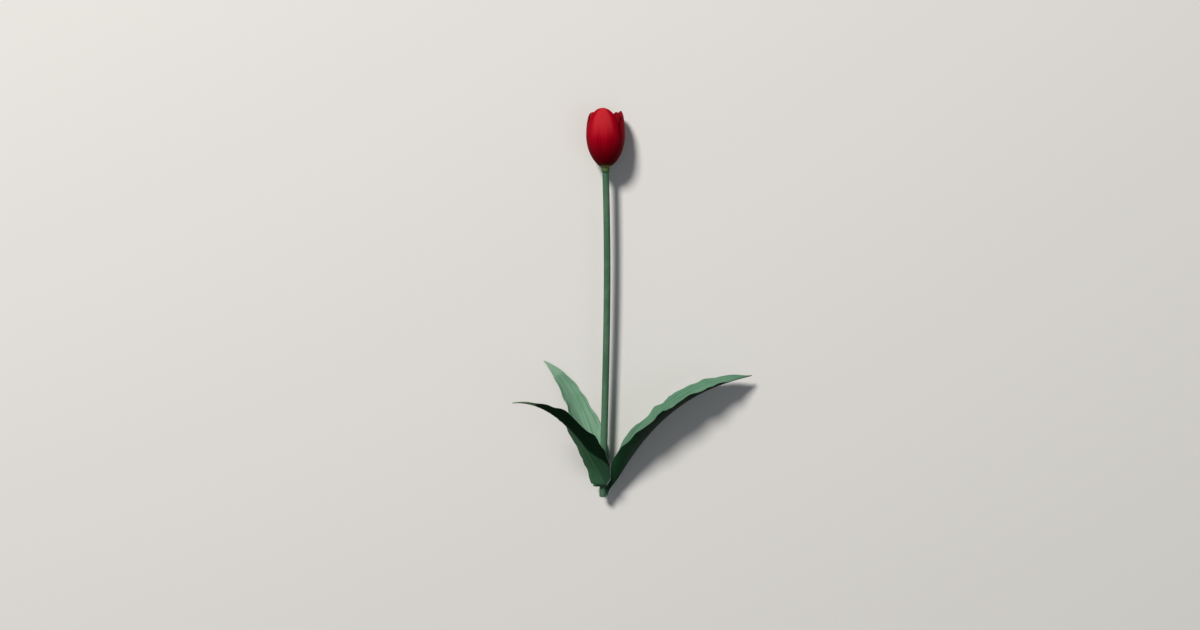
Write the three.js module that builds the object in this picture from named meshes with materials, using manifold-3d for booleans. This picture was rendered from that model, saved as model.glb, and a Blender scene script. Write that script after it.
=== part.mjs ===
// A cut tulip that lies on a flat surface: a stem, three leaves that clasp its foot, and a
// closed bloom of six tepals round a pistil and six stamens. Millimetres, +Z up. The stem
// runs along +Y to the bloom, and the lowest spots of the bloom and of two leaves touch Z = 0.
import * as THREE from 'three';
import { mergeVertices } from 'three/addons/utils/BufferGeometryUtils.js';
import Module from 'manifold-3d';

const wasm = await Module();
wasm.setup();

// The plant is drawn with its cut end at Y = 0, and then its outline is centred on the origin.
const outlineCentre = { x: 32.8, y: 199.6 };

const stem = {
  length: 342.1, // from the cut to the top of the receptacle
  cutX: -0.65, // where the cut end lies
  cutZ: 15,
  topX: 1.7, // where the receptacle lies
  topZ: 19.65,
  bow: 2.65, // how far the stalk bows to the right between them
  bowPeak: 1.48, // over 1 it brings the widest place of the bow nearer to the bloom
  bowRound: 0.91,
  footRadius: 3.75,
  neckRadius: 3.3,
  sides: 14,
  rings: 24,
};

// Radius of the receptacle at distances from the cut, as the stalk widens under the bloom.
const receptacle = [[3.3, 337.2], [3.9, 338.2], [4.1, 339.6], [4.05, 341.7]];

// A leaf is a gutter swept along its midrib. Its own keys are used in leafPoint.
const leafThickness = 0.9;
const claspRadius = 5.1; // of the middle of the blade where it wraps the stem
const leafGrid = { across: 8, along: 56 };
const rowGather = 1.25; // how strongly the rows gather towards the foot
const leaves = {
  leaf_right: {
    colour: 0x5f8f6b,
    midrib: [[5.5, 1.5, 15], [43, 80.5, 25.6], [83.3, 121.4, 37], [153.6, 130, 14]],
    inward: [[-0.83, 0.51, -0.25], [-0.84, 0.54, -0.07], [-0.08, 0.98, 0.2]],
    width: 60.7, foot: 0.06, shoulder: 0.143, taper: 3.67,
    fold: [1.84, 0.77, 0.72], foldReach: 0.25, crease: 0.25,
    wave: 0.9, ruffle: 0.05, phase: [0.4, 2.2],
    lobes: [{ margin: -1, at: 0.25, reach: 0.05, size: 0.2 }],
    clasp: { angle: -11, wrap: 80, skew: -36, reach: 0.045, rise: 200, spread: 0, droop: 0 },
  },
  leaf_front_left: {
    colour: 0x4f7f5c,
    midrib: [[2.5, 13, 24], [7.4, 12, 32], [-30, 126.5, 93], [-88, 119, 87]],
    inward: [[-0.37, 0.09, -0.92], [-0.31, 0.93, -0.21], [-0.33, 0.87, -0.37]],
    width: 39.7, foot: 0.44, shoulder: 0.31, taper: 2.32,
    fold: [1.3, 1.17, 1.22], foldReach: 0.08, crease: 0.9,
    wave: 0.9, ruffle: 0.05, phase: [1.4, 0.2],
    lobes: [
      { margin: 1, at: 0.1, reach: 0.14, size: 0.6 },
      { margin: -1, at: 0.73, reach: 0.045, size: 0.3 },
      { margin: -1, at: 0.61, reach: 0.05, size: -0.2 },
    ],
    clasp: { angle: 91, wrap: 75, skew: 40, reach: 0.07, rise: 150, spread: 6.5, droop: 3 },
  },
  leaf_back_left: {
    colour: 0x6b9c78,
    midrib: [[-1.7, 20, 8.4], [-14.9, 47.7, -4], [-25.6, 114.6, 0.8], [-63, 143.6, 2.5]],
    inward: [[0.35, 0, 0.94], [0.32, 0.22, 0.92], [0.36, 0, 0.93]],
    width: 32, foot: 0.5, shoulder: 0.1, taper: 3.45,
    fold: [1.6, 0.9, 0.8], foldReach: 0.12, crease: 0.2,
    wave: 0.45, ruffle: 0.04, phase: [0.1, 1.2],
    lobes: [{ margin: 1, at: 0.44, reach: 0.06, size: 0.18 }],
    clasp: { angle: 245, wrap: 75, skew: 0, reach: 0.07, rise: 150, spread: 0, droop: 0 },
  },
};
const waveCount = 6.5; // undulations of a margin from foot to tip
const keelRadius = 0.08; // how sharp the crease along the keel is, of the half width

// The bloom is a goblet. Its side is two stretches of one curve that meet at the belly.
const bloom = {
  base: 340.4, // where the goblet's side starts, along Y
  radius: 18.9, // of the outer ring of tepals at the belly
  belly: 33, // height of the widest place above the base
  low: 31.8, // reach of the curve under the belly
  high: 42, // reach of the curve over the belly
  footAngle: -74, // where a tepal starts on the curve, in degrees from the belly
  roundness: 1.2,
};
const bloomFoot = bloom.base + bloom.belly + bloom.low * Math.sin(THREE.MathUtils.degToRad(bloom.footAngle));
const tepalThickness = 0.8;
const tepalGrid = { across: 8, along: 14 };
const outerTepal = { offset: 0, halfAngle: 62, taper: 5.7, beak: 0 };
const innerTepal = { offset: -2.05, halfAngle: 52, taper: 4.5, beak: 0, edges: [0, 0] };
// azimuth is counted from straight up towards +X, and tipAngle sets how far the tip reaches.
// edges is how far each margin stands off the goblet, so that one lies over its neighbour's, and
// beak is a small point that the tip is drawn out to, in degrees of the curve.
const tepals = {
  tepal_outer_front: { ...outerTepal, azimuth: -11.5, tipAngle: 37.6, flare: 0, edges: [0.45, 0.45] },
  tepal_outer_right: {
    ...outerTepal, azimuth: 110, halfAngle: 64.5, taper: 8,
    tipAngle: 31.8, beak: 2.8, flare: 1.2, edges: [-0.95, 0.45],
  },
  tepal_outer_left: {
    ...outerTepal, azimuth: 230, halfAngle: 63.5, taper: 9,
    tipAngle: 33.2, flare: 0.8, edges: [-0.95, -0.97],
  },
  tepal_inner_right: { ...innerTepal, azimuth: 50, tipAngle: 32.5, flare: 0.6 },
  tepal_inner_back: { ...innerTepal, azimuth: 170, tipAngle: 32, flare: 0.4 },
  tepal_inner_left: { ...innerTepal, azimuth: 290, tipAngle: 33, flare: 0.5 },
};

// Radius and height over the bloom's foot, up the pistil, and how deeply its lobes are cut.
const pistil = [
  [0, -0.3, 0], [1.8, -0.3, 0], [1.8, 1.6, 0], [2.5, 4, 0.06], [3.3, 9, 0.08], [3.3, 15, 0.1],
  [2.6, 21, 0.12], [2.2, 23.4, 0.2], [4.2, 25, 0.42], [4, 26.4, 0.42], [1.6, 26.2, 0.2], [0, 25.4, 0],
];
const pistilSides = 18;
const stamen = {
  count: 6,
  rootRadius: 0.9, rootHeight: 1, lean: 31, // the filament's root and how far it leans out
  filament: [[0, 0], [0.8, 0], [0.75, 5], [0.6, 10], [0, 10]],
  filamentSides: 6,
  anther: [[0, 0], [0.9, 0.6], [1.5, 3], [1.6, 7], [1.45, 11], [0.9, 14.4], [0, 15.2]],
  antherSides: 8,
  antherDrop: 1.3, // how far the anther starts under the filament's end
  antherLean: 4,
};

const radians = THREE.MathUtils.degToRad;

// Value at t of the parabola through three values, at the foot, the middle and the tip.
const parabola = ([a, b, c], t) => a * (1 - t) * (1 - 2 * t) + b * 4 * t * (1 - t) + c * t * (2 * t - 1);

// 1 at the foot, falling to 0 over about the given reach.
const fade = (t, reach) => Math.exp(-((t / reach) ** 2));

// Middle of the stem at a distance from the cut.
function stemAxis(y) {
  const t = THREE.MathUtils.clamp(y / stem.length, 0, 1);
  const bow = stem.bow * Math.sin(Math.PI * t ** stem.bowPeak) ** stem.bowRound;
  return {
    x: THREE.MathUtils.lerp(stem.cutX, stem.topX, t) + bow,
    z: THREE.MathUtils.lerp(stem.cutZ, stem.topZ, t),
  };
}

// Closed blade between two faces. point(u, v, side) gives the face's position for u from -1
// to 1 and v from 0 to 1, with side 1 for the face that u turned towards v looks out of, and
// -1 for the other. The last row is one point, the tip. Both faces are split alike.
function blade(point, { across, along }) {
  const positions = [];
  const faceSize = along * (across + 1) + 1;
  for (const side of [1, -1]) {
    for (let row = 0; row < along; row++) {
      for (let column = 0; column <= across; column++) {
        positions.push(...point((2 * column) / across - 1, row / along, side));
      }
    }
    positions.push(...point(0, 1, side));
  }
  const vertex = (row, column) => (row === along ? faceSize - 1 : row * (across + 1) + column);
  const index = [];
  const triangle = (a, b, c) => {
    if (a !== b && b !== c && c !== a) index.push(a, b, c);
  };
  for (let row = 0; row < along; row++) {
    for (let column = 0; column < across; column++) {
      const a = vertex(row, column);
      const b = vertex(row, column + 1);
      const c = vertex(row + 1, column + 1);
      const d = vertex(row + 1, column);
      triangle(a, b, c);
      triangle(a, c, d);
      triangle(a + faceSize, c + faceSize, b + faceSize);
      triangle(a + faceSize, d + faceSize, c + faceSize);
    }
  }
  const wall = (from, to) => {
    triangle(to, from, from + faceSize);
    triangle(to, from + faceSize, to + faceSize);
  };
  for (let column = 0; column < across; column++) wall(vertex(0, column), vertex(0, column + 1));
  for (let row = 0; row < along; row++) {
    wall(vertex(row, across), vertex(row + 1, across));
    wall(vertex(row + 1, 0), vertex(row, 0));
  }
  const geometry = new THREE.BufferGeometry();
  geometry.setAttribute('position', new THREE.Float32BufferAttribute(positions, 3));
  geometry.setIndex(index);
  geometry.computeVertexNormals();
  return geometry;
}

// A point of a leaf, for u from margin to margin, t from foot to tip and side 1 on the inner
// face. The section is an arc with a creased keel. Near the foot it blends into a sheath round
// the stem, it is pushed clear of the stem, and what would be under the surface lies on it.
function leafPoint(leaf, midrib, u, t, side) {
  const offset = (side * leafThickness) / 2;
  const centre = midrib.getPoint(t);
  const along = midrib.getTangent(t);
  const inward = new THREE.Vector3(...[0, 1, 2].map((k) => parabola(leaf.inward.map((v) => v[k]), t)));
  inward.addScaledVector(along, -inward.dot(along)).normalize();
  const across = new THREE.Vector3().crossVectors(along, inward);

  // half width: narrow where it leaves the stem, then broad, then drawn to a point
  const opening = fade(t, leaf.shoulder);
  const tip = (1 - t ** leaf.taper) ** 1.1;
  const wavy = Math.sqrt(Math.max(0, Math.sin(Math.PI * t))) * (1 - opening);
  const turn = 2 * Math.PI * waveCount * t;
  const phase = u > 0 ? leaf.phase[0] : leaf.phase[1];
  let uneven = 1 + leaf.ruffle * wavy * u * u * Math.sin(turn * 1.3 + phase * 1.7);
  for (const { margin, at, reach, size } of leaf.lobes) {
    uneven += size * Math.max(0, u * margin) ** 2 * fade(t - at, reach);
  }
  const halfWidth = (leaf.width / 2) * (1 - (1 - leaf.foot) * opening) * tip * uneven;

  // arc of half angle fold, with a crease that leaves the margins where they are
  const sheathed = fade(t, leaf.foldReach);
  const open = THREE.MathUtils.lerp(leaf.fold[1], leaf.fold[2], t);
  const flat = 1 - Math.exp(-halfWidth / 2); // the last millimetres of the tip open out
  const fold = Math.max(THREE.MathUtils.lerp(open, leaf.fold[0], sheathed) * flat, 0.05);
  const crease = leaf.crease * (1 - sheathed) * flat;
  const peak = Math.hypot(1, keelRadius) - keelRadius;
  const tent = Math.hypot(u, keelRadius) - keelRadius - u * u * peak;
  const tentSlope = u / Math.hypot(u, keelRadius) - 2 * u * peak;
  const slopeX = Math.cos(fold * u);
  const slopeY = Math.sin(fold * u) + crease * tentSlope;
  const slope = Math.hypot(slopeX, slopeY);

  // the margins wave, and the face is half a thickness from the middle
  const wave = Math.sin(turn + phase) + 0.4 * Math.sin(turn * 1.9 + phase * 2.1);
  const lift = leaf.wave * wavy * Math.abs(u) ** 3 * wave + offset;
  const x = (halfWidth / fold) * Math.sin(fold * u) - (lift * slopeY) / slope;
  const depth = (halfWidth / fold) * (1 - Math.cos(fold * u)) + crease * halfWidth * tent;
  const y = depth + (lift * slopeX) / slope;
  const free = centre.addScaledVector(across, x).addScaledVector(inward, y);

  // the sheath, a part of a cylinder round the stem that may open wider and hang lower to one side
  const { angle, wrap, skew, reach, rise, spread, droop } = leaf.clasp;
  const sheathY = leaf.midrib[0][1] + rise * t - droop * Math.max(0, u) ** 2;
  const turned = radians(angle + wrap * u + skew * u * u);
  const radius = claspRadius - offset;
  const loose = radius + spread * Math.max(0, u) ** 2;
  const core = stemAxis(sheathY);
  const sheath = new THREE.Vector3(
    core.x + loose * Math.cos(turned), sheathY, core.z + loose * Math.sin(turned));
  const point = free.lerp(sheath, fade(t, reach));

  // clear of the stem, and not under the surface it lies on
  const axis = stemAxis(point.y);
  const away = new THREE.Vector2(point.x - axis.x, point.z - axis.z);
  away.setLength(Math.max(away.length(), radius));
  const lowest = leafThickness / 2 + offset;
  return [axis.x + away.x, point.y, Math.max(axis.z + away.y, lowest)];
}

// A point of a tepal, for u across, v from foot to tip and side 1 on the outer face. It lies on
// the goblet, offset along the goblet's normal, and is flattened where the bloom rests.
function tepalPoint(tepal, u, v, side) {
  const s = v * (1.6 - 0.6 * v); // rows gather towards the rounded tip
  const turned = radians(tepal.azimuth + tepal.halfAngle * Math.sqrt(Math.max(0, 1 - s ** tepal.taper)) * u);
  const angle = radians(THREE.MathUtils.lerp(bloom.footAngle, tepal.tipAngle, s) + tepal.beak * s ** 40);
  const reach = angle < 0 ? bloom.low : bloom.high;
  const cosine = Math.cos(angle);
  const riseOut = -bloom.radius * bloom.roundness * cosine ** (bloom.roundness - 1) * Math.sin(angle);
  const riseUp = reach * cosine;
  const steep = Math.hypot(riseOut, riseUp);
  const edge = tepal.edges[u < 0 ? 0 : 1] * Math.abs(u) ** 3;
  const offset = tepal.offset + edge + tepal.flare * s ** 6 + (side * tepalThickness) / 2;
  const radius = bloom.radius * cosine ** bloom.roundness + (offset * riseUp) / steep;
  const height = bloom.belly + reach * Math.sin(angle) - (offset * riseOut) / steep;
  const lowest = (tepalThickness * (1 - side)) / 2;
  return [
    stem.topX + radius * Math.sin(turned),
    bloom.base + height,
    Math.max(stem.topZ + radius * Math.cos(turned), lowest),
  ];
}

// Stalk and receptacle: one turned shape, bent along the stem's axis.
function stemGeometry() {
  const profile = [new THREE.Vector2(0, 0), new THREE.Vector2(stem.footRadius, 0)];
  const neck = receptacle[0][1];
  for (let ring = 1; ring < stem.rings; ring++) {
    const t = ring / stem.rings;
    profile.push(new THREE.Vector2(THREE.MathUtils.lerp(stem.footRadius, stem.neckRadius, t), neck * t));
  }
  receptacle.forEach(([radius, y]) => profile.push(new THREE.Vector2(radius, y)));
  profile.push(new THREE.Vector2(0, stem.length));
  const geometry = new THREE.LatheGeometry(profile, stem.sides);
  const position = geometry.attributes.position;
  for (let i = 0; i < position.count; i++) {
    const { x, z } = stemAxis(position.getY(i));
    position.setXYZ(i, position.getX(i) + x, position.getY(i), position.getZ(i) + z);
  }
  return geometry;
}

// A closed geometry as a solid that can be joined to others.
function toSolid(geometry) {
  const plain = geometry.clone();
  plain.deleteAttribute('normal');
  plain.deleteAttribute('uv');
  const merged = mergeVertices(plain, 1e-4);
  const corners = merged.index.array;
  const kept = [];
  for (let i = 0; i < corners.length; i += 3) {
    const [a, b, c] = corners.slice(i, i + 3);
    if (a !== b && b !== c && c !== a) kept.push(a, b, c);
  }
  return new wasm.Manifold(new wasm.Mesh({
    numProp: 3,
    vertProperties: new Float32Array(merged.attributes.position.array),
    triVerts: new Uint32Array(kept),
  }));
}

function toGeometry(solid) {
  const { vertProperties, triVerts } = solid.getMesh();
  const geometry = new THREE.BufferGeometry();
  geometry.setAttribute('position', new THREE.Float32BufferAttribute(vertProperties, 3));
  geometry.setIndex(Array.from(triVerts));
  geometry.computeVertexNormals();
  return geometry;
}

const lathe = (profile, sides) =>
  new THREE.LatheGeometry(profile.map(([radius, y]) => new THREE.Vector2(radius, y)), sides);

// Three-lobed pistil: a turned shape whose radius swells three times round.
function pistilGeometry() {
  const geometry = lathe(pistil, pistilSides);
  const position = geometry.attributes.position;
  const rows = pistil.length;
  for (let i = 0; i < position.count; i++) {
    const lobe = pistil[i % rows][2];
    const turned = Math.atan2(position.getX(i), position.getZ(i));
    const swell = 1 + lobe * Math.cos(3 * turned);
    position.setXYZ(i, position.getX(i) * swell, position.getY(i), position.getZ(i) * swell);
  }
  return geometry;
}

// Pistil and six stamens, joined where the filaments are rooted in the pistil's foot.
function pistilAndStamensGeometry() {
  let solid = toSolid(pistilGeometry());
  for (let i = 0; i < stamen.count; i++) {
    const lean = radians(stamen.lean);
    const filamentLength = stamen.filament.at(-1)[1];
    const filament = lathe(stamen.filament, stamen.filamentSides)
      .rotateX(lean)
      .translate(0, stamen.rootHeight, stamen.rootRadius);
    const reach = filamentLength - stamen.antherDrop;
    const anther = lathe(stamen.anther, stamen.antherSides)
      .rotateX(radians(stamen.antherLean))
      .translate(
        0, stamen.rootHeight + reach * Math.cos(lean), stamen.rootRadius + reach * Math.sin(lean));
    const round = radians((360 / stamen.count) * i + tepals.tepal_outer_front.azimuth);
    for (const piece of [filament, anther]) solid = solid.add(toSolid(piece.rotateY(round)));
  }
  return toGeometry(solid).translate(stem.topX, bloomFoot, stem.topZ);
}

function mesh(name, geometry, color, roughness) {
  const piece = new THREE.Mesh(geometry, new THREE.MeshStandardMaterial({ color, roughness, metalness: 0 }));
  piece.name = name;
  return piece;
}

const tulip = new THREE.Group();
tulip.position.set(-outlineCentre.x, -outlineCentre.y, 0);
tulip.add(mesh('stem', stemGeometry(), 0x4b7a50, 0.5));
for (const [name, leaf] of Object.entries(leaves)) {
  const midrib = new THREE.CubicBezierCurve3(...leaf.midrib.map((p) => new THREE.Vector3(...p)));
  const point = (u, v, side) => leafPoint(leaf, midrib, u, v ** rowGather, side);
  tulip.add(mesh(name, blade(point, leafGrid), leaf.colour, 0.55));
}
for (const [name, tepal] of Object.entries(tepals)) {
  const point = (u, v, side) => tepalPoint(tepal, u, v, side);
  tulip.add(mesh(name, blade(point, tepalGrid), 0xb01622, 0.4));
}
tulip.add(mesh('pistil_and_stamens', pistilAndStamensGeometry(), 0x2a1f2e, 0.6));

const part = new THREE.Group();
part.add(tulip);

export default part;
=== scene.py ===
import bpy
import numpy as np
from math import radians
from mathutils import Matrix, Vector


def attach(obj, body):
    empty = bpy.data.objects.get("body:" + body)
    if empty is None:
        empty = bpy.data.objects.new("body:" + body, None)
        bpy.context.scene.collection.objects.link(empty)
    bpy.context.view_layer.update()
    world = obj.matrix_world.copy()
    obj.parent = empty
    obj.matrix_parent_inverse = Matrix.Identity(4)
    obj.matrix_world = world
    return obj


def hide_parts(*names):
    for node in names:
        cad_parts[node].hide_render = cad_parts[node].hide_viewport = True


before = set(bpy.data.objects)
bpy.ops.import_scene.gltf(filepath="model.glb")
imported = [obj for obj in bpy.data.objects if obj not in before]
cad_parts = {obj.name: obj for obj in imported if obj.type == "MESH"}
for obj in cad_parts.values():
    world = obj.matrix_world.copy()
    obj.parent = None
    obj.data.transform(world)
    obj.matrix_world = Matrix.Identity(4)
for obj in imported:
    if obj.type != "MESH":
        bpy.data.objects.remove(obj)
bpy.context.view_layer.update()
print("frame loaded")

# The plant is worked out in millimetres with its cut end at y = 0 and the stalk along y. This
# point of it comes to the frame's origin.
outlineCentre = np.array([32.8, 199.6, 0.0])


def paint(red, green, blue):
    # a colour as picked from a screen, 0 to 255, as the shader's own linear one
    c = np.array([red, green, blue]) / 255
    return (*np.where(c < 0.04045, c / 12.92, ((c + 0.055) / 1.055) ** 2.4).tolist(), 1.0)


class Signal:
    # a socket that can be used in sums: each operator adds its Math node
    def __init__(self, finish, socket):
        self.finish = finish
        self.socket = socket

    def maths(self, operation, first, shadedHalfTone=0.0):
        return self.finish.add("Math", {"operation": operation}, {0: first, 1: shadedHalfTone})

    def __add__(self, other):
        return self.maths("ADD", self, other)

    def __radd__(self, other):
        return self.maths("ADD", other, self)

    def __sub__(self, other):
        return self.maths("SUBTRACT", self, other)

    def __rsub__(self, other):
        return self.maths("SUBTRACT", other, self)

    def __mul__(self, other):
        return self.maths("MULTIPLY", self, other)

    def __rmul__(self, other):
        return self.maths("MULTIPLY", other, self)

    def __pow__(self, other):
        return self.maths("POWER", self, other)

    def __rpow__(self, other):
        return self.maths("POWER", other, self)

    def __abs__(self):
        return self.maths("ABSOLUTE", self)

    def sine(self):
        return self.maths("SINE", self)

    def ramp(self, low, high):
        # 0 up to low and 1 from high on, smooth between; low over high turns it round
        return self.finish.add("MapRange", {"interpolation_type": "SMOOTHSTEP"},
                               {"Value": self, "From Min": low, "From Max": high})


class Finish:
    # one material; constants are the shader's sockets that are the same all over
    def __init__(self, name, constants):
        self.material = bpy.data.materials.new(name)
        self.material.use_nodes = True
        self.nodes = self.material.node_tree.nodes
        self.surface = self.nodes["Principled BSDF"]
        for socket, value in constants.items():
            self.surface.inputs[socket].default_value = value

    def add(self, kind, settings, sockets, output=0):
        # any node: its settings first, then the values or links of its sockets
        node = self.nodes.new("ShaderNode" + kind)
        for key, value in settings.items():
            setattr(node, key, value)
        for key, value in sockets.items():
            self.feed(node.inputs[key], value)
        return Signal(self, node.outputs[output])

    def feed(self, socket, value):
        if isinstance(value, Signal):
            self.material.node_tree.links.new(value.socket, socket)
        else:
            socket.default_value = value

    def drive(self, **sockets):
        # the shader's own sockets, with _ for a space in their names
        for key, value in sockets.items():
            self.feed(self.surface.inputs[key.replace("_", " ")], value)

    def blend(self, factor, one, other):
        return self.add("Mix", {"data_type": "RGBA"}, {0: factor, 6: one, 7: other}, 2)

    def attribute(self, name):
        return self.add("Attribute", {"attribute_name": name}, {}, "Fac")

    def place(self):
        return self.add("TexCoord", {}, {}, "Object")

    def vector(self, x, y, z):
        return self.add("CombineXYZ", {}, {0: x, 1: y, 2: z})

    def noise(self, vector, scale, detail, roughness=0.5):
        return self.add("TexNoise", {}, {"Vector": vector, "Scale": scale, "Detail": detail,
                                         "Roughness": roughness})

    def cells(self, vector, scale):
        return self.add("TexVoronoi", {}, {"Vector": vector, "Scale": scale})

    def bump(self, height, distance, strength):
        return self.add("Bump", {}, {"Height": height, "Distance": distance,
                                     "Strength": strength})


def meshPiece(name, points, faces, attributes, finish, slotName, nodes=()):
    # points in millimetres of the plant, faces as lists of corners
    mesh = bpy.data.meshes.new(name)
    mesh.from_pydata(((points - outlineCentre) / 1000).tolist(), [], faces)
    mesh.polygons.foreach_set("use_smooth", np.ones(len(mesh.polygons), bool))
    for key, values in attributes.items():
        layer = mesh.attributes.new(key, "FLOAT", "POINT")
        layer.data.foreach_set("value", values.astype(np.float32))
    mesh.materials.append(finish.material)
    mesh.update()
    piece = bpy.data.objects.new(name, mesh)
    bpy.context.scene.collection.objects.link(piece)
    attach(piece, "root")
    if nodes:
        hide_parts(*nodes)


def usedParts(points, faces, attributes):
    # leaves out the points that no face uses; faces are arrays of corners
    used = np.unique(np.concatenate([some.ravel() for some in faces]))
    renumbered = [face for some in faces for face in np.searchsorted(used, some).tolist()]
    return points[used], renumbered, {key: values[used] for key, values in attributes.items()}


def bladeParts(place, columns, rows):
    # A closed blade of two faces that share their rim. The grid runs u = sin(pi x / 2) from -1
    # to 1 across, so that its columns gather at the margins, and v from 0 to 1 along. Row
    # v = 1 is one point, the tip. place(u, v, side) gives the points of the face side = 1 or -1.
    u, v = np.meshgrid(np.sin(np.linspace(-1, 1, columns + 1) * np.pi / 2),
                       np.linspace(0, 1, rows + 1))
    count = u.size
    front = np.arange(count).reshape(u.shape)
    front[-1, :] = front[-1, 0]
    back = front + count
    rim = np.zeros(u.shape, bool)
    rim[0, :] = rim[-1, :] = True
    rim[:, 0] = rim[:, -1] = True
    back[rim] = front[rim]
    points = np.concatenate([place(u, v, side).reshape(-1, 3) for side in (1.0, -1.0)])
    faces = []
    for grid, turned in ((front, False), (back, True)):
        a, b, c, d = grid[:-1, :-1], grid[:-1, 1:], grid[1:, 1:], grid[1:, :-1]
        quads = np.stack([a, d, c, b] if turned else [a, b, c, d], -1)
        tip = np.stack([a[-1], c[-1], b[-1]] if turned else [a[-1], b[-1], c[-1]], -1)
        faces += [quads[:-1].reshape(-1, 4), tip]
    attributes = {"across": np.tile(u.ravel(), 2), "along": np.tile(v.ravel(), 2),
                  "inner": np.concatenate([np.where(rim, 0.5, 1.0).ravel(), np.zeros(count)])}
    return usedParts(points, faces, attributes)


def turnedParts(place, around, rows):
    # A closed skin round an axis: place(angle, s) for angle over a full turn and s from 0 to 1,
    # where both ends are one point each.
    angle, s = np.meshgrid(np.arange(around) * 2 * np.pi / around, np.linspace(0, 1, rows + 1))
    index = np.arange(angle.size).reshape(angle.shape)
    following = np.roll(index, -1, 1)
    a, b, c, d = index[:-1], following[:-1], following[1:], index[1:]
    quads = np.stack([a, b, c, d], -1)[1:-1].reshape(-1, 4)
    first = np.stack([np.full(around, index[0, 0]), c[0], d[0]], -1)
    last = np.stack([a[-1], b[-1], np.full(around, index[-1, 0])], -1)
    return usedParts(place(angle, s).reshape(-1, 3), [quads, first, last], {"along": s.ravel()})


def joined(parts):
    # several closed skins as one mesh
    points, faces, attributes, shift = [], [], {}, 0
    for somePoints, someFaces, someAttributes in parts:
        points.append(somePoints)
        faces += [[corner + shift for corner in face] for face in someFaces]
        for key, values in someAttributes.items():
            attributes.setdefault(key, []).append(values)
        shift += len(somePoints)
    return np.concatenate(points), faces, {k: np.concatenate(v) for k, v in attributes.items()}


# The stalk, with a receptacle that widens under the bloom and a plain cut at its foot.
stalk = {
    "length": 342.1, "cutX": -0.65, "cutZ": 15.0, "topX": 1.7, "topZ": 19.65,
    "bow": 2.65, "bowPeak": 1.48, "bowRound": 0.91,
    "footRadius": 3.75, "neckRadius": 3.3, "rim": 0.35, "rimSteps": 5, "lengthSteps": 90,
    # distance from the cut and radius: the hollow of the cut, and the receptacle
    "hollow": [(0.12, 0), (0.05, 1.6)], "hollowEdge": 0.1,
    "receptacle": [(337.3, 3.3), (337.7, 3.47), (338.0, 3.76), (338.4, 3.92), (339.0, 4.02),
                   (339.8, 4.08), (340.8, 4.08), (341.7, 4.04), (342.3, 3.9)],
    # how deep and how many round the stalk, and for the slower ones how gently they turn
    "ribs": (0.006, 11), "sway": (0.01, 3, 70), "around": 64, "rows": 102,
    # low: painted light, a paler green for the stalk among the leaves' feet, where they shade it
    "green": paint(54, 84, 63), "pale": paint(66, 98, 76), "low": paint(74, 112, 84),
    "waxy": paint(84, 112, 90), "ring": paint(64, 86, 48), "line": paint(30, 46, 24),
    "crown": paint(34, 34, 12), "cut": paint(168, 182, 120), "pores": paint(96, 112, 58),
    "waxyShare": 0.35, "lowShare": 0.6, "darkShare": 0.8,
    "lowReach": (0.03, 0.16), "cutReach": (0.0002, 0.0006),  # metres from the cut
    "roughness": 0.42, "bump": (0.00012, 0.5),  # its height in metres and its strength
}


def stemAxis(y):
    # The middle of the stalk: a straight line from the cut to the receptacle, and to the right
    # of it a bow of sin(pi t^bowPeak)^bowRound.
    t = np.clip(y / stalk["length"], 0, 1)
    bow = stalk["bow"] * np.maximum(np.sin(np.pi * t ** stalk["bowPeak"]), 0) ** stalk["bowRound"]
    return (stalk["cutX"] + (stalk["topX"] - stalk["cutX"]) * t + bow,
            stalk["cutZ"] + (stalk["topZ"] - stalk["cutZ"]) * t)


def stalkPoint(angle, s):
    # Distance along the axis and radius are read off a profile: the slightly hollow cut, its
    # rounded rim, the tapering stalk, the receptacle and its flat top. The radius is times
    # 1 + ribs cos(11 angle) + sway cos(3 angle + y / 70).
    foot, rim = stalk["footRadius"], stalk["rim"]
    hollowY, hollowRadius = np.array(stalk["hollow"]).T
    topY, topRadius = np.array(stalk["receptacle"]).T
    turn = np.linspace(0, np.pi / 2, stalk["rimSteps"])
    tallY = np.linspace(rim, topY[0], stalk["lengthSteps"])[1:-1]
    tallRadius = foot + (stalk["neckRadius"] - foot) * tallY / topY[0]
    profileY = np.concatenate([hollowY, [0.0], rim - rim * np.cos(turn), tallY, topY,
                               [stalk["length"]]])
    profileRadius = np.concatenate([hollowRadius, [foot - rim - stalk["hollowEdge"]],
                                    foot - rim + rim * np.sin(turn), tallRadius, topRadius, [0]])
    step = np.linspace(0, 1, len(profileY))
    y = np.interp(s, step, profileY)
    ribDepth, ribCount = stalk["ribs"]
    swayDepth, swayCount, swayLength = stalk["sway"]
    ribs = ribDepth * np.cos(ribCount * angle)
    sway = swayDepth * np.cos(swayCount * angle + y / swayLength)
    radius = np.interp(s, step, profileRadius) * (1 + ribs + sway)
    x, z = stemAxis(y)
    return np.stack([x + radius * np.sin(angle), y, z + radius * np.cos(angle)], -1)


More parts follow.
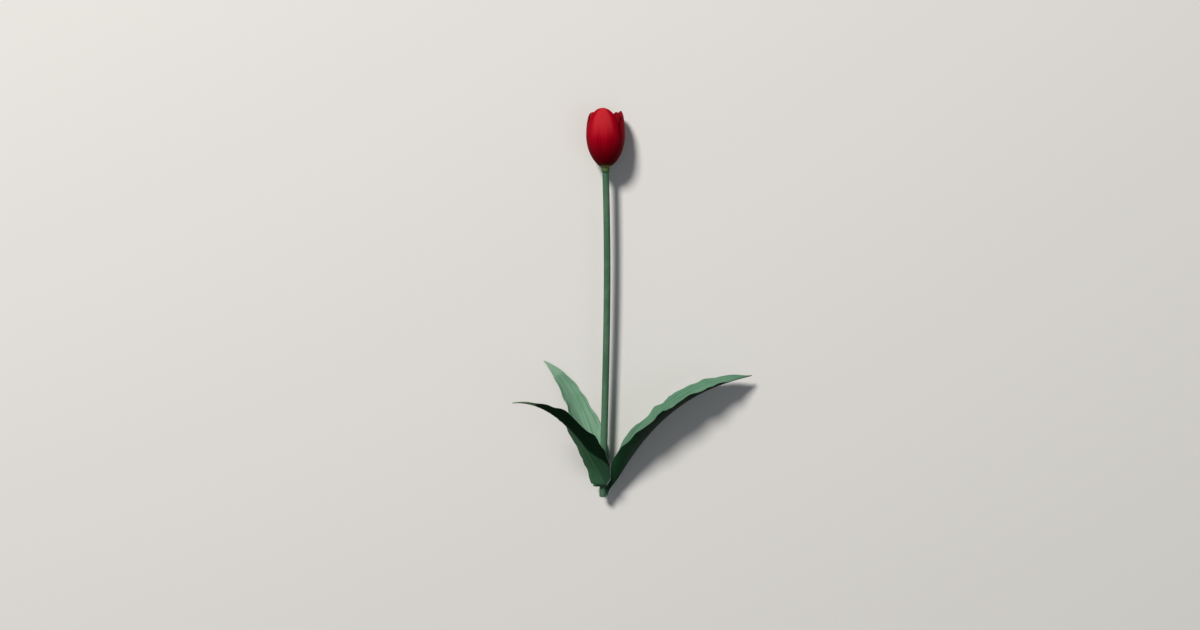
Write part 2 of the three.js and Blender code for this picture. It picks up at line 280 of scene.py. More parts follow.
def stalkFinish():
    # Streaks run lengthwise under a clouded waxy bloom. Metres from the cut tell the parts apart.
    finish = Finish("stalk", {"Specular IOR Level": 0.1})
    place = finish.place()
    x, y, z = (finish.add("SeparateXYZ", {}, {0: place}, k) for k in range(3))
    y = y + outlineCentre[1] / 1000
    neck, crown = stalk["receptacle"][0][0] / 1000, stalk["length"] / 1000
    streaks = finish.noise(finish.vector(x * 1100, y * 22, z * 1100), 1.0, 3.0, 0.6)
    clouds = finish.noise(place, 55.0, 3.0, 0.55)
    fine = finish.noise(place, 2600.0, 2.0, 0.6)
    # painted light: the stalk is painted paler among the leaves' feet, where they shade it
    near, far = stalk["lowReach"]
    litAmongLeaves = y.ramp(far, near) * y.ramp(0.0, near)
    colour = finish.blend(streaks.ramp(0.35, 0.75), stalk["green"], stalk["pale"])
    colour = finish.blend(clouds.ramp(0.45, 0.7) * stalk["waxyShare"], colour, stalk["waxy"])
    colour = finish.blend(litAmongLeaves * stalk["lowShare"], colour, stalk["low"])
    # a yellow-green receptacle with a darker line under it
    line = y.ramp(neck - 0.0007, neck + 0.0001) * y.ramp(neck + 0.001, neck + 0.0003)
    top = y.ramp(crown - 0.0009, crown - 0.0001)
    colour = finish.blend(y.ramp(neck - 0.0001, neck + 0.0009), colour, stalk["ring"])
    colour = finish.blend(line * stalk["darkShare"], colour, stalk["line"])
    colour = finish.blend(top * stalk["darkShare"], colour, stalk["crown"])
    # the cut: pale flesh with darker pores
    pores = finish.cells(place, 1500.0)
    flesh = finish.blend(pores.ramp(0.25, 0.12), stalk["cut"], stalk["pores"])
    near, far = stalk["cutReach"]
    colour = finish.blend(y.ramp(far, near), colour, flesh)
    finish.drive(Base_Color=colour, Roughness=stalk["roughness"] + clouds * 0.14 + streaks * 0.08,
                 Normal=finish.bump(streaks * 0.7 + fine * 0.3, *stalk["bump"]))
    return finish


parts = turnedParts(stalkPoint, stalk["around"], stalk["rows"])
meshPiece("stalk", *parts, stalkFinish(), "stalk", ["stem"])
print("stalk made")


# The leaves. The keys are used in leafPoint and the functions before it. A lobe says on which
# margin it is, where along, its reach and its size. A clasp says how a leaf wraps the stalk.
leafLook = {
    "thickness": 0.9, "claspRadius": 5.1, "keel": 0.08, "waves": 6.5, "crinkle": 0.3,
    "footRound": 0.6,  # millimetres over which the foot's edge rounds off
    "rowGather": 1.25, "columns": 64, "rows": 300,
}
leafRight = {
    "midrib": [[5.5, 1.5, 15], [43, 80.5, 25.6], [83.3, 121.4, 37], [153.6, 130, 14]],
    "inward": [[-0.83, 0.51, -0.25], [-0.84, 0.54, -0.07], [-0.08, 0.98, 0.2]],
    "width": 60.7, "foot": 0.06, "shoulder": 0.143, "taper": 3.67,
    "fold": [1.84, 0.77, 0.72], "foldReach": 0.25, "crease": 0.25,
    "wave": 0.9, "ruffle": 0.05, "phase": [0.4, 2.2],
    "lobes": [(-1, 0.25, 0.05, 0.2)],
    "clasp": {"angle": -11, "wrap": 80, "skew": -36, "reach": 0.045, "rise": 200,
              "spread": 0, "droop": 0},
}
leafFrontLeft = {
    "midrib": [[2.5, 13, 24], [7.4, 12, 32], [-30, 126.5, 93], [-88, 119, 87]],
    "inward": [[-0.37, 0.09, -0.92], [-0.31, 0.93, -0.21], [-0.33, 0.87, -0.37]],
    "width": 39.7, "foot": 0.44, "shoulder": 0.31, "taper": 2.32,
    "fold": [1.3, 1.17, 1.22], "foldReach": 0.08, "crease": 0.9,
    "wave": 0.9, "ruffle": 0.05, "phase": [1.4, 0.2],
    "lobes": [(1, 0.1, 0.14, 0.6), (-1, 0.73, 0.045, 0.3), (-1, 0.61, 0.05, -0.2)],
    "clasp": {"angle": 91, "wrap": 75, "skew": 40, "reach": 0.07, "rise": 150,
              "spread": 6.5, "droop": 3.0},
}
leafBackLeft = {
    "midrib": [[-1.7, 20, 8.4], [-14.9, 47.7, -4], [-25.6, 114.6, 0.8], [-63, 143.6, 2.5]],
    "inward": [[0.35, 0, 0.94], [0.32, 0.22, 0.92], [0.36, 0, 0.93]],
    "width": 32.0, "foot": 0.5, "shoulder": 0.1, "taper": 3.45,
    "fold": [1.6, 0.9, 0.8], "foldReach": 0.12, "crease": 0.2,
    "wave": 0.45, "ruffle": 0.04, "phase": [0.1, 1.2],
    "lobes": [(1, 0.44, 0.06, 0.18)],
    "clasp": {"angle": 245, "wrap": 75, "skew": 0, "reach": 0.07, "rise": 150,
              "spread": 0, "droop": 0},
}


def parabola(values, t):
    # through the three values at t = 0, 1/2 and 1
    a, b, c = (np.asarray(v, float) for v in values)
    t = t[..., None] if a.ndim else t
    return a * (1 - t) * (1 - 2 * t) + b * 4 * t * (1 - t) + c * t * (2 * t - 1)


def unit(vectors):
    return vectors / np.linalg.norm(vectors, axis=-1, keepdims=True)


def leafMidrib(leaf, t):
    # A cubic curve through the midrib's four steering points. It gives the points of the curve
    # and, square to it and to each other, the way sideways and the way into the gutter.
    p0, p1, p2, p3 = (np.asarray(p, float) for p in leaf["midrib"])
    k = t[..., None]
    centre = (p0 * (1 - k) ** 3 + p1 * 3 * k * (1 - k) ** 2
              + p2 * 3 * k ** 2 * (1 - k) + p3 * k ** 3)
    along = unit((p1 - p0) * (1 - k) ** 2 + (p2 - p1) * 2 * k * (1 - k) + (p3 - p2) * k ** 2)
    inward = parabola(leaf["inward"], t)
    inward = unit(inward - along * np.sum(inward * along, -1, keepdims=True))
    return centre, np.cross(along, inward), inward


def leafSheath(leaf, u, t, radius):
    # The foot lies on a cylinder round the stalk, at angle + wrap u + skew u^2 degrees and
    # rise t above its lowest row. On the side u > 0 it stands off the stalk by spread u^2 and
    # hangs down by droop u^2.
    clasp = leaf["clasp"]
    corner = np.maximum(0, u) ** 2
    y = leaf["midrib"][0][1] + clasp["rise"] * t - clasp["droop"] * corner
    turned = np.radians(clasp["angle"] + clasp["wrap"] * u + clasp["skew"] * u * u)
    loose = radius + clasp["spread"] * corner
    x, z = stemAxis(y)
    return np.stack([x + loose * np.cos(turned), y, z + loose * np.sin(turned)], -1)


def keptClear(points, radius, lowest):
    # pushed straight out from the stalk's middle to that radius at least, then up to lowest
    x, z = stemAxis(points[..., 1])
    awayX, awayZ = points[..., 0] - x, points[..., 2] - z
    distance = np.hypot(awayX, awayZ)
    pushed = np.maximum(distance, radius) / distance
    return np.stack([x + awayX * pushed, points[..., 1],
                     np.maximum(z + awayZ * pushed, lowest)], -1)


def leafPoint(leaf, u, v, side):
    # A gutter carried along the midrib. Its section is an arc of half angle fold with a crease
    # at the keel: x = w sin(fold u) / fold, y = w (1 - cos(fold u)) / fold + crease w tent(u),
    # where tent is |u| - u^2 with a rounded keel. The half width w is narrow at the foot, falls
    # as (1 - t^taper)^1.1 to the tip, ruffles a little and swells at the lobes. Margins wave as
    # |u|^3 and crinkle as |u|^8. Each face is half a thickness off the middle, which thins as
    # sqrt(1 - u^8) to the margin. As exp(-(t / reach)^2) the foot turns into the sheath. Last,
    # it is kept off the stalk and above the surface that the flower lies on.
    t = v ** leafLook["rowGather"]
    centre, sideways, inward = leafMidrib(leaf, t)

    opening = np.exp(-(t / leaf["shoulder"]) ** 2)
    tip = np.maximum(1 - t ** leaf["taper"], 0) ** 1.1
    wavy = np.sqrt(np.maximum(0, np.sin(np.pi * t))) * (1 - opening)
    turn = 2 * np.pi * leafLook["waves"] * t
    phase = np.where(u > 0, leaf["phase"][0], leaf["phase"][1])
    uneven = 1 + leaf["ruffle"] * wavy * u * u * np.sin(turn * 1.3 + phase * 1.7)
    for margin, at, reach, size in leaf["lobes"]:
        swell = np.exp(-((t - at) / reach) ** 2)
        uneven = uneven + size * np.maximum(0, u * margin) ** 2 * swell
    halfWidth = leaf["width"] / 2 * (1 - (1 - leaf["foot"]) * opening) * tip * uneven

    sheathed = np.exp(-(t / leaf["foldReach"]) ** 2)
    flat = 1 - np.exp(-halfWidth / 2)  # the narrow tip neither folds nor creases
    foldFoot, foldLow, foldHigh = leaf["fold"]
    fold = foldLow * (1 - t) + foldHigh * t
    fold = np.maximum((fold + (foldFoot - fold) * sheathed) * flat, 0.05)
    crease = leaf["crease"] * (1 - sheathed) * flat
    keel = leafLook["keel"]
    rounded = np.hypot(u, keel)
    peak = np.hypot(1, keel) - keel
    tent = rounded - keel - u * u * peak
    slopeX = np.cos(fold * u)
    slopeY = np.sin(fold * u) + crease * (u / rounded - 2 * u * peak)
    slope = np.hypot(slopeX, slopeY)

    length = np.linalg.norm(np.subtract(leaf["midrib"][3], leaf["midrib"][0])) * 1.1
    rounding = np.sqrt(1 - (1 - np.clip(t * length / leafLook["footRound"], 0, 1)) ** 2)
    half = leafLook["thickness"] / 2 * np.sqrt(np.maximum(1 - np.abs(u) ** 8, 0)) * rounding
    offset = side * half
    wave = np.sin(turn + phase) + 0.4 * np.sin(turn * 1.9 + phase * 2.1)
    crinkle = leafLook["crinkle"] * np.sin(3.7 * turn + 2.7 * phase + 1.6 * np.sin(0.9 * turn))
    crinkle = crinkle * np.abs(u) ** 8 * np.maximum(0, np.sin(0.62 * turn + 3 * phase))
    lift = (leaf["wave"] * wave * np.abs(u) ** 3 + crinkle) * wavy + offset
    x = halfWidth / fold * np.sin(fold * u) - lift * slopeY / slope
    y = halfWidth / fold * (1 - np.cos(fold * u)) + crease * halfWidth * tent
    y = y + lift * slopeX / slope
    free = centre + sideways * x[..., None] + inward * y[..., None]

    radius = leafLook["claspRadius"] - offset
    clasped = np.exp(-(t / leaf["clasp"]["reach"]) ** 2)[..., None]
    points = free * (1 - clasped) + leafSheath(leaf, u, t, radius) * clasped
    return keptClear(points, radius, half + offset)


leafTones = {
    "inside": paint(64, 99, 78), "insidePale": paint(78, 114, 92),
    # the outer face: painted shade, much darker than the inner face, as if turned from the light
    "outside": paint(15, 48, 26), "outsidePale": paint(24, 62, 38), "foot": paint(18, 50, 28),
    # painted shade on one half of the outer face: how strong its tone is, and how far the line
    # between the halves bends away from the keel at the foot
    "halfShadeShare": 0.7, "halfShadeBend": 0.0,
    "shadedHalf": paint(38, 78, 52), "shadedHalfTip": paint(38, 78, 52),
    "shadeStrip": paint(2, 14, 4), "shadeStripShare": 0.8,  # painted shadow, near black, along the margin of the other half
    "vein": paint(84, 118, 94), "waxy": paint(98, 130, 110), "margin": paint(70, 98, 72),
    "veinShare": 0.3, "waxyShare": 0.35, "marginShare": 0.5,
    "footShare": 0.6, "insideFootShare": 0.5,
    "tipTone": paint(92, 96, 68), "tipFrom": 0.97, "tipShare": 0.7,
    "veins": 118, "fineVeins": 342, "roughness": 0.44, "bump": (0.00012, 0.7),
}
# the front-left leaf: one half of its outer face is painted near black, as painted shade
shadedHalfTones = {
    **leafTones, "outside": paint(33, 70, 44), "outsidePale": paint(50, 90, 60),
    # painted light: a pale foot on the outer face, with the shaded half's edge bent away from it
    "foot": paint(68, 112, 80), "halfShadeShare": 0.95, "halfShadeBend": 1.15,
    "shadedHalf": paint(3, 25, 10), "shadedHalfTip": paint(2, 14, 4), "shadeStripShare": 0.0,
    "tipTone": paint(106, 124, 98), "tipFrom": 0.88,
}
# painted light: the back-left leaf's tones are painted paler than the right leaf's, so that it
# reads as brightly lit
litLeafTones = {
    **leafTones, "inside": paint(84, 124, 97), "insidePale": paint(118, 154, 129),
    "vein": paint(118, 152, 128), "waxy": paint(120, 150, 132), "shadeStripShare": 0.0,
    "tipTone": paint(128, 160, 138), "tipFrom": 0.86,
}


def leafFinish(name, look):
    # Veins run along lines of equal u, so they draw together at the foot and at the tip.
    finish = Finish(name, {"Specular IOR Level": 0.04, "Specular Tint": (0.5, 1.0, 0.6, 1.0)})
    across, along, inner = (finish.attribute(key) for key in ("across", "along", "inner"))
    place = finish.place()
    seed = look["seed"]
    wander = finish.noise(finish.vector(across * 3, along * 5, seed), 1.0, 2.0)
    veins = (across * look["veins"] + wander * 4).sine() * 0.5 + 0.5
    fineVeins = (across * look["fineVeins"] + wander * 9).sine() * 0.5 + 0.5
    streaks = finish.noise(finish.vector(across * 9, along * 2.2, seed + 3), 1.0, 4.0, 0.65)
    clouds = finish.noise(place, 38.0, 4.0, 0.6)
    grain = finish.noise(place, 1900.0, 2.0, 0.6)
    inside = finish.blend(streaks.ramp(0.36, 0.64), look["inside"], look["insidePale"])
    inside = finish.blend(along.ramp(0.6, 0.15) * look["insideFootShare"], inside, look["waxy"])
    # painted shade: the outer face takes the darker outside tones
    outside = finish.blend(streaks.ramp(0.36, 0.64), look["outside"], look["outsidePale"])
    # towards the foot the outer face takes the foot tone, on the front-left leaf a pale painted
    # light
    outside = finish.blend(along.ramp(0.48, 0.24) * look["footShare"], outside, look["foot"])
    # painted shade: one half of the outer face takes its own shade tone, near black on the
    # front-left leaf
    half = across + along.ramp(0.58, 0.22) * look["halfShadeBend"]
    shadedHalfTone = finish.blend(along.ramp(0.5, 0.72), look["shadedHalf"], look["shadedHalfTip"])
    outside = finish.blend(half.ramp(0.05, -0.05) * look["halfShadeShare"], outside, shadedHalfTone)
    # painted shadow: a near-black strip along one margin of the outer face, from the middle up
    shadeStrip = along.ramp(0.3, 0.5) * across.ramp(0.1, 0.5)
    outside = finish.blend(shadeStrip * look["shadeStripShare"], outside, look["shadeStrip"])
    colour = finish.blend(inner, outside, inside)
    facing = 0.02 + inner * 0.98  # veins and waxy bloom show most on the inner face, and are kept nearly off the outer face so that its painted shade stays dark
    waxy = clouds.ramp(0.42, 0.75)
    edge = abs(across).ramp(0.965, 0.995)
    tip = along.ramp(look["tipFrom"], look["tipFrom"] + 0.03)
    colour = finish.blend(veins ** 3.0 * facing * look["veinShare"], colour, look["vein"])
    colour = finish.blend(waxy * facing * look["waxyShare"], colour, look["waxy"])
    colour = finish.blend(edge * facing * look["marginShare"], colour, look["margin"])
    colour = finish.blend(tip * look["tipShare"], colour, look["tipTone"])
    height = veins * 0.6 + fineVeins * 0.25 + grain * 0.15
    finish.drive(Base_Color=colour, Roughness=look["roughness"] + clouds * 0.12 + streaks * 0.1,
                 Normal=finish.bump(height, *look["bump"]))
    return finish


for number, (node, leaf, tones) in enumerate([
        ("leaf_right", leafRight, leafTones), ("leaf_front_left", leafFrontLeft, shadedHalfTones),
        ("leaf_back_left", leafBackLeft, litLeafTones)]):
    parts = bladeParts(lambda u, v, side: leafPoint(leaf, u, v, side),
                       leafLook["columns"], leafLook["rows"])
    name = "blade" + node[4:]
    meshPiece(name, *parts, leafFinish(name, {**tones, "seed": 7.3 * number}), "leaf", [node])
    print(name, "made")


# The bloom: two rings of three petals. Their keys are used in tepalPoint.
bloom = {
    "base": 340.4, "radius": 18.9, "belly": 33.0, "low": 31.8, "high": 42.0,
    "footAngle": -74.0, "roundness": 1.2, "thickness": 0.8,
    "furrow": (0.12, 0.1),  # its depth, and its half width as a share of the petal's
    "footRound": 1 / 120,  # the share of a petal's length over which its foot rounds off
    "columns": 64, "rows": 110,
}
bloomFoot = bloom["base"] + bloom["belly"] + bloom["low"] * np.sin(np.radians(bloom["footAngle"]))
outerRing = {"offset": 0.0, "halfAngle": 62, "taper": 5.7, "beak": 0.0, "ripple": 0.006}
innerRing = {"offset": -2.05, "halfAngle": 52, "taper": 4.5, "beak": 0.0, "ripple": 0.015,
             "edges": (0, 0)}
tepals = {
    "tepal_outer_front": {**outerRing, "azimuth": -11.5, "tipAngle": 37.6, "flare": 0.0,
                          "edges": (0.45, 0.45)},
    "tepal_outer_right": {**outerRing, "azimuth": 110, "tipAngle": 31.8, "flare": 1.2,
                          "edges": (-0.95, 0.45), "halfAngle": 64.5, "taper": 8.0, "beak": 2.8},
    "tepal_outer_left": {**outerRing, "azimuth": 230, "tipAngle": 33.2, "flare": 0.8,
                         "edges": (-0.95, -0.97), "halfAngle": 63.5, "taper": 9.0},
    "tepal_inner_right": {**innerRing, "azimuth": 50, "tipAngle": 32.5, "flare": 0.6},
    "tepal_inner_back": {**innerRing, "azimuth": 170, "tipAngle": 32.0, "flare": 0.4},
    "tepal_inner_left": {**innerRing, "azimuth": 290, "tipAngle": 33.0, "flare": 0.5},
}


def tepalPoint(tepal, u, v, side):
    # It lies on a goblet r = R cos(a)^roundness, h = belly + reach sin(a), where a runs from the
    # foot angle to the tip angle, and on by beak s^40 to a small point. Its half angle about the
    # axis is halfAngle sqrt(1 - s^taper), with a slight ripple. It stands off the goblet, along
    # the goblet's normal, by offset + edge |u|^3 + flare s^6, with a shallow furrow down its
    # middle. What would be under the surface that the bloom lies on is pressed flat.
    s = v * (2 - v)
    ripple = 1 + tepal["ripple"] * np.sin(19 * s + 2.4 * u + tepal["azimuth"]) * np.sin(np.pi * s)
    width = np.sqrt(np.maximum(0, 1 - s ** tepal["taper"])) * ripple
    turned = np.radians(tepal["azimuth"] + tepal["halfAngle"] * width * u)
    sweep = tepal["tipAngle"] - bloom["footAngle"]
    a = np.radians(bloom["footAngle"] + sweep * s + tepal["beak"] * s ** 40)
    reach = np.where(a < 0, bloom["low"], bloom["high"])
    cosine = np.cos(a)
    power = bloom["roundness"]
    riseOut = -bloom["radius"] * power * cosine ** (power - 1) * np.sin(a)
    riseUp = reach * cosine
    steep = np.hypot(riseOut, riseUp)
    rounding = np.sqrt(1 - (1 - np.clip(s / bloom["footRound"], 0, 1)) ** 2)
    half = bloom["thickness"] / 2 * np.sqrt(np.maximum(1 - np.abs(u) ** 8, 0)) * rounding
    half = half * np.sqrt(np.maximum(1 - s ** 30, 0))
    depth, narrow = bloom["furrow"]
    furrow = -depth * np.exp(-(u / narrow) ** 2) * np.sin(np.pi * s) ** 0.5
    edge = np.where(u < 0, *tepal["edges"]) * np.abs(u) ** 3
    offset = tepal["offset"] + edge + tepal["flare"] * s ** 6 + side * half + furrow
    radius = bloom["radius"] * cosine ** power + offset * riseUp / steep
    height = bloom["belly"] + reach * np.sin(a) - offset * riseOut / steep
    return np.stack([stalk["topX"] + radius * np.sin(turned), bloom["base"] + height,
                     np.maximum(stalk["topZ"] + radius * np.cos(turned), half * (1 - side))], -1)


petalTones = {
    "deep": paint(124, 1, 18), "red": paint(152, 4, 26), "lit": paint(162, 34, 40),
    "low": paint(72, 0, 5), "thread": paint(104, 0, 16), "margin": paint(84, 0, 12),
    "footDark": paint(52, 32, 8), "footGreen": paint(112, 112, 40),
    "blotch": paint(26, 14, 24), "blotchEdge": paint(196, 160, 40),
    "litShare": 0.15, "tipFrom": 0.88,  # how strong its painted highlight is, where its darker tip starts
    "flankShare": 0.75, "lowShare": 0.92, "threadShare": 0.45, "marginShare": 0.5,
    "tipShare": 0.6, "streaks": 13, "threads": 90, "roughness": 0.46, "bump": (0.00018, 0.6),
}
litFront = {"litShare": 0.85, "tipFrom": 0.97}  # painted highlight: the front petal, lit most, is the palest, up to its tip


def petalFinish(name, look):
    # Streaks fan out from the foot along lines of equal u. On a petal "inner" is 1 outside.
    finish = Finish(name, {"Specular IOR Level": 0.03, "Specular Tint": (1.0, 0.12, 0.15, 1.0)})
    across, along, outside = (finish.attribute(key) for key in ("across", "along", "inner"))
    place = finish.place()
    seed = look["seed"]
    wander = finish.noise(finish.vector(across * 2.5, along * 3, seed), 1.0, 2.0)
    streaks = finish.noise(finish.vector(across * look["streaks"] + wander * 2, along * 1.6,
                                         seed + 5), 1.0, 4.0, 0.65)
    threads = finish.noise(finish.vector(across * look["threads"] + wander * 6, along * 2.5,
                                         seed + 9), 1.0, 3.0, 0.6)
    grain = finish.noise(place, 2400.0, 2.0, 0.6)
    flank = abs(across + wander * 0.3 - 0.15)
    # painted highlight: a paler salmon tone on the upper middle of each petal
    lit = (along + streaks * 0.16).ramp(0.42, 0.66) * flank.ramp(0.74, 0.42)
    body = finish.blend(streaks.ramp(0.25, 0.7), look["deep"], look["red"])
    body = finish.blend(lit * look["litShare"], body, look["lit"])
    # darker towards the sides and margin: partly the petal's own deeper red, partly painted shade
    # where the cup turns away
    body = finish.blend(flank.ramp(0.45, 0.95) * look["flankShare"], body, look["deep"])
    # painted shade: darker towards the foot of the cup, which is turned from the light
    body = finish.blend(along.ramp(0.5, 0.08) * look["lowShare"], body, look["low"])
    body = finish.blend(threads.ramp(0.5, 0.72) * look["threadShare"], body, look["thread"])
    body = finish.blend(flank.ramp(0.85, 1.0) * look["marginShare"], body, look["margin"])
    # a darker tip: partly the petal's own colour, partly painted shade
    tip = along.ramp(look["tipFrom"], 1.0)
    body = finish.blend(tip * look["tipShare"], body, look["margin"])
    foot = finish.blend(along.ramp(0.055, 0.02), look["footDark"], look["footGreen"])
    body = finish.blend(along.ramp(0.1, 0.04), body, foot)
    # inside, a dark blotch with a yellow edge sits at the foot
    blotch = finish.blend(along.ramp(0.3, 0.27), look["blotchEdge"], look["blotch"])
    within = finish.blend((along + streaks * 0.08).ramp(0.4, 0.36), body, blotch)
    height = streaks * 0.55 + threads * 0.3 + grain * 0.15
    finish.drive(Base_Color=finish.blend(outside, within, body),
                 Roughness=look["roughness"] + streaks * 0.12 + grain * 0.06,
                 Normal=finish.bump(height, *look["bump"]))
    return finish


for number, (node, tepal) in enumerate(tepals.items()):
    parts = bladeParts(lambda u, v, side: tepalPoint(tepal, u, v, side),
                       bloom["columns"], bloom["rows"])
    name = node.replace("tepal", "petal")
    look = {**petalTones, "seed": 4.1 * number, **(litFront if name.endswith("front") else {})}
    meshPiece(name, *parts, petalFinish(name, look), "petal", [node])
print("bloom made")


# The heart of the flower: a three-lobed pistil and six stamens.
heart = {
    # height over the bloom's foot, radius and how deeply the three lobes are cut
    "pistil": [(-0.3, 0, 0), (-0.3, 1.6, 0), (1.6, 1.8, 0), (4, 2.5, 0.06), (9, 3.3, 0.08),
               (15, 3.3, 0.1), (21, 2.6, 0.12), (23.4, 2.2, 0.2), (24.4, 3.4, 0.36),
               (25.3, 4.1, 0.42), (26.2, 4.0, 0.42), (26.5, 2.6, 0.3), (25.9, 1.2, 0.1),
               (25.4, 0, 0)],
    # distance from the rod's foot and radius
    "filament": [(0, 0), (0, 0.75), (1, 0.8), (5, 0.72), (9.4, 0.55), (10, 0)],
    "anther": [(0, 0), (0.3, 0.6), (1.2, 1.1), (3, 1.5), (7, 1.6), (11, 1.45), (14, 0.95),
               (15, 0.4), (15.2, 0)],
    "count": 6, "rootRadius": 0.9, "rootHeight": 1.0, "lean": 31.0,
    "antherDrop": 1.3, "antherLean": 4.0, "groove": 0.16,
    # points round and rows along
    "pistilGrid": (72, 120), "filamentGrid": (16, 24), "antherGrid": (32, 48),
    "ovary": paint(118, 138, 66), "ovaryPale": paint(150, 164, 88),
    "papillae": paint(226, 208, 130), "stigma": paint(180, 150, 70),
    "antherDark": paint(30, 18, 34), "pollen": paint(74, 48, 72), "dust": paint(150, 120, 70),
    "filamentFoot": paint(196, 170, 70), "filamentTop": paint(60, 34, 40),
    "filamentStreak": paint(120, 96, 40),
}
heartFoot = np.array([stalk["topX"], bloomFoot, stalk["topZ"]])


def pistilPoint(angle, s):
    # radius r(s) (1 + lobe(s) cos(3 angle)), with height, radius and lobe read off the profile
    rows = np.array(heart["pistil"], float)
    step = np.linspace(0, 1, len(rows))
    height, radius, lobe = (np.interp(s, step, rows[:, k]) for k in range(3))
    radius = radius * (1 + lobe * np.cos(3 * angle))
    return np.stack([radius * np.sin(angle), height, radius * np.cos(angle)], -1)


def rodPoint(profile, groove, angle, s):
    # a turned rod whose radius is times 1 - groove cos(2 angle)^8, four lengthwise grooves
    rows = np.array(profile, float)
    step = np.linspace(0, 1, len(rows))
    height, radius = (np.interp(s, step, rows[:, k]) for k in range(2))
    radius = radius * (1 - groove * np.cos(2 * angle) ** 8)
    return np.stack([radius * np.sin(angle), height, radius * np.cos(angle)], -1)


def turnedRound(points, lean, height, distance, bearing):
    # leaned out from the axis, set at that height and distance, then turned round the axis
    c, s = np.cos(np.radians(lean)), np.sin(np.radians(lean))
    x, y, z = points.T
    y, z = y * c - z * s + height, y * s + z * c + distance
    c, s = np.cos(np.radians(bearing)), np.sin(np.radians(bearing))
    return np.stack([x * c + z * s, y, -x * s + z * c], -1)


def stamenParts(profile, groove, lean, height, distance, grid):
    # the same rod for each stamen, evenly round the axis from the front petal's middle
    points, faces, attributes = turnedParts(
        lambda angle, s: rodPoint(profile, groove, angle, s), *grid)
    first = tepals["tepal_outer_front"]["azimuth"]
    bearings = [360 / heart["count"] * k + first for k in range(heart["count"])]
    return joined([(turnedRound(points, lean, height, distance, bearing) + heartFoot,
                    faces, attributes) for bearing in bearings])


def pistilFinish():
    # a mottled green ovary under a stigma with pale papillae
    finish = Finish("pistil", {})
    along = finish.attribute("along")
    place = finish.place()
    mottle = finish.noise(place, 900.0, 3.0, 0.6)
    papillae = finish.cells(place, 2600.0)
    body = finish.blend(mottle.ramp(0.35, 0.7), heart["ovary"], heart["ovaryPale"])
    stigma = finish.blend(papillae.ramp(0.1, 0.5), heart["papillae"], heart["stigma"])
    finish.drive(Base_Color=finish.blend(along.ramp(0.52, 0.6), body, stigma),
                 Roughness=0.45 + mottle * 0.2, Normal=finish.bump(papillae, 0.0003, 0.6))
    return finish


def antherFinish():
    # powdery pollen in two tones, with patches of paler dust
    finish = Finish("anther", {})
    place = finish.place()
    pollen = finish.noise(place, 3200.0, 3.0, 0.7)
    patches = finish.noise(place, 420.0, 2.0, 0.5)
    colour = finish.blend(pollen.ramp(0.45, 0.7), heart["antherDark"], heart["pollen"])
    colour = finish.blend(patches.ramp(0.55, 0.72) * 0.4, colour, heart["dust"])
    finish.drive(Base_Color=colour, Roughness=0.8 + pollen * 0.15,
                 Normal=finish.bump(pollen, 0.0003, 0.8))
    return finish


def filamentFinish():
    # yellow at the root and dark under the anther, faintly streaked
    finish = Finish("filament", {})
    along = finish.attribute("along")
    streaks = finish.noise(finish.place(), 1400.0, 2.0, 0.5)
    colour = finish.blend(along.ramp(0.45, 0.8), heart["filamentFoot"], heart["filamentTop"])
    colour = finish.blend(streaks.ramp(0.5, 0.8) * 0.3, colour, heart["filamentStreak"])
    finish.drive(Base_Color=colour, Roughness=0.5 + streaks * 0.15,
                 Normal=finish.bump(streaks, 0.0001, 0.5))
    return finish


points, faces, attributes = turnedParts(pistilPoint, *heart["pistilGrid"])
meshPiece("pistil", points + heartFoot, faces, attributes, pistilFinish(), "flower_heart",
          ["pistil_and_stamens"])
filament = stamenParts(heart["filament"], 0.0, heart["lean"], heart["rootHeight"],
                       heart["rootRadius"], heart["filamentGrid"])
meshPiece("filaments", *filament, filamentFinish(), "flower_heart")
reach = heart["filament"][-1][0] - heart["antherDrop"]  # along the filament to the anther
lean = radians(heart["lean"])
anther = stamenParts(heart["anther"], heart["groove"], heart["antherLean"],
                     heart["rootHeight"] + reach * np.cos(lean),
                     heart["rootRadius"] + reach * np.sin(lean), heart["antherGrid"])
meshPiece("anthers", *anther, antherFinish(), "flower_heart")
print("heart made")


# Floor, lights and camera.
studio = {"floorHalf": 4.0, "floorDrop": 0.0002, "floorColour": (0.56, 0.55, 0.53, 1.0),
          "skyColour": (0.86, 0.92, 1.0, 1.0), "skyStrength": 0.22}
lights = {
    "key": {"direction": (-0.38, 0.62, 0.68), "distance": 6.0, "size": 1.3, "energy": 530.0,
            "colour": (1, 0.97, 0.93)},
    "fill": {"direction": (0.7, -0.3, 0.9), "distance": 5.0, "size": 3.0, "energy": 16.0,
             "colour": (0.9, 0.95, 1)},
}


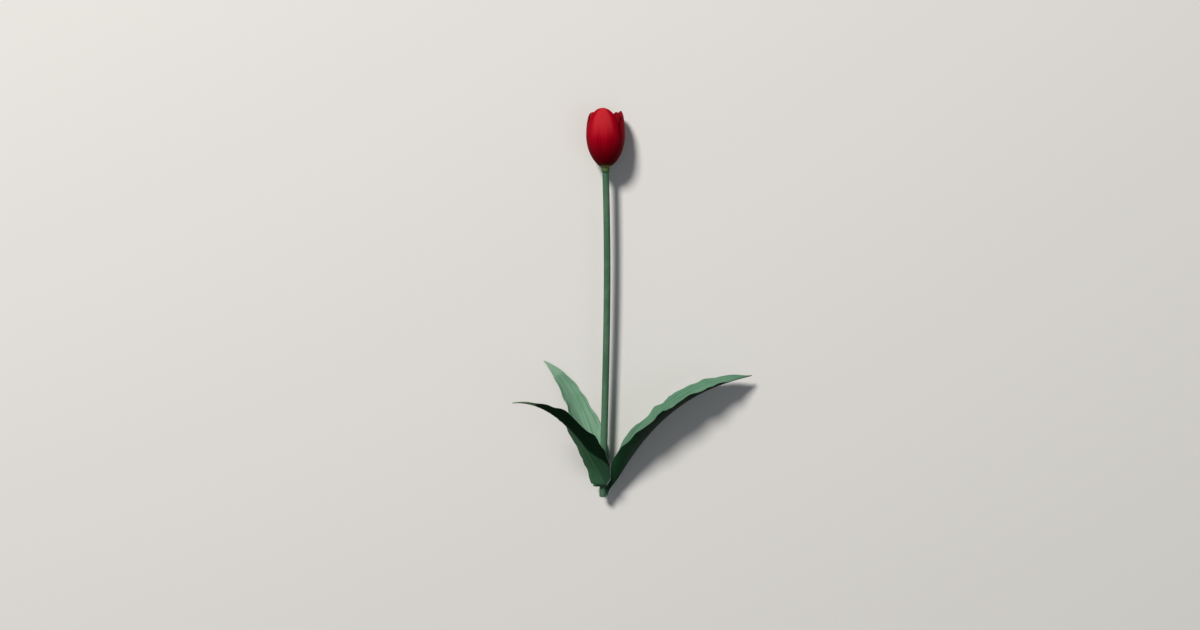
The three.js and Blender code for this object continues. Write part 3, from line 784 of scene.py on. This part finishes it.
def floorPlane():
    # one flat square just under the surface that the flower lies on
    finish = Finish("floor", {"Roughness": 0.9, "Specular IOR Level": 0.2,
                              "Base Color": studio["floorColour"]})
    mesh = bpy.data.meshes.new("floor")
    half = studio["floorHalf"]
    corners = [(-half, -half, 0), (half, -half, 0), (half, half, 0), (-half, half, 0)]
    mesh.from_pydata(corners, [], [(0, 1, 2, 3)])
    mesh.materials.append(finish.material)
    floor = bpy.data.objects.new("floor", mesh)
    bpy.context.scene.collection.objects.link(floor)
    floor.location.z = -studio["floorDrop"]


def areaLight(name, direction, distance, size, energy, colour):
    # a disk that far from the origin in that direction, turned to face it
    light = bpy.data.lights.new(name, "AREA")
    light.shape = "DISK"
    light.size = size
    light.energy = energy
    light.color = colour
    lamp = bpy.data.objects.new(name, light)
    bpy.context.scene.collection.objects.link(lamp)
    towards = np.array(direction) / np.linalg.norm(direction)
    lamp.location = towards * distance
    lamp.rotation_euler = Vector(towards).to_track_quat("Z", "Y").to_euler()


floorPlane()
for name, light in lights.items():
    areaLight(name, **light)
world = bpy.data.worlds.new("studio")
world.use_nodes = True
background = world.node_tree.nodes["Background"]
background.inputs["Color"].default_value = studio["skyColour"]
background.inputs["Strength"].default_value = studio["skyStrength"]
bpy.context.scene.world = world
bpy.context.scene.view_settings.view_transform = "Standard"
print("lights set")

# The camera looks down on the flower: its place in the plant's millimetres, its tilt in degrees
# from straight down, and its lens and sensor width in millimetres.
cameraView = {"place": (-3.7, 340.4, 965.6), "tilt": 8.8, "lens": 28.242, "sensor": 36,
              "clipStart": 0.01}
camera = bpy.data.cameras.new("camera")
camera.lens = cameraView["lens"]
camera.sensor_width = cameraView["sensor"]
camera.clip_start = cameraView["clipStart"]
cameraObject = bpy.data.objects.new("camera", camera)
bpy.context.scene.collection.objects.link(cameraObject)
cameraObject.location = (np.array(cameraView["place"]) - outlineCentre) / 1000
cameraObject.rotation_euler = (radians(-cameraView["tilt"]), 0, 0)
bpy.context.scene.camera = cameraObject
print("camera set")
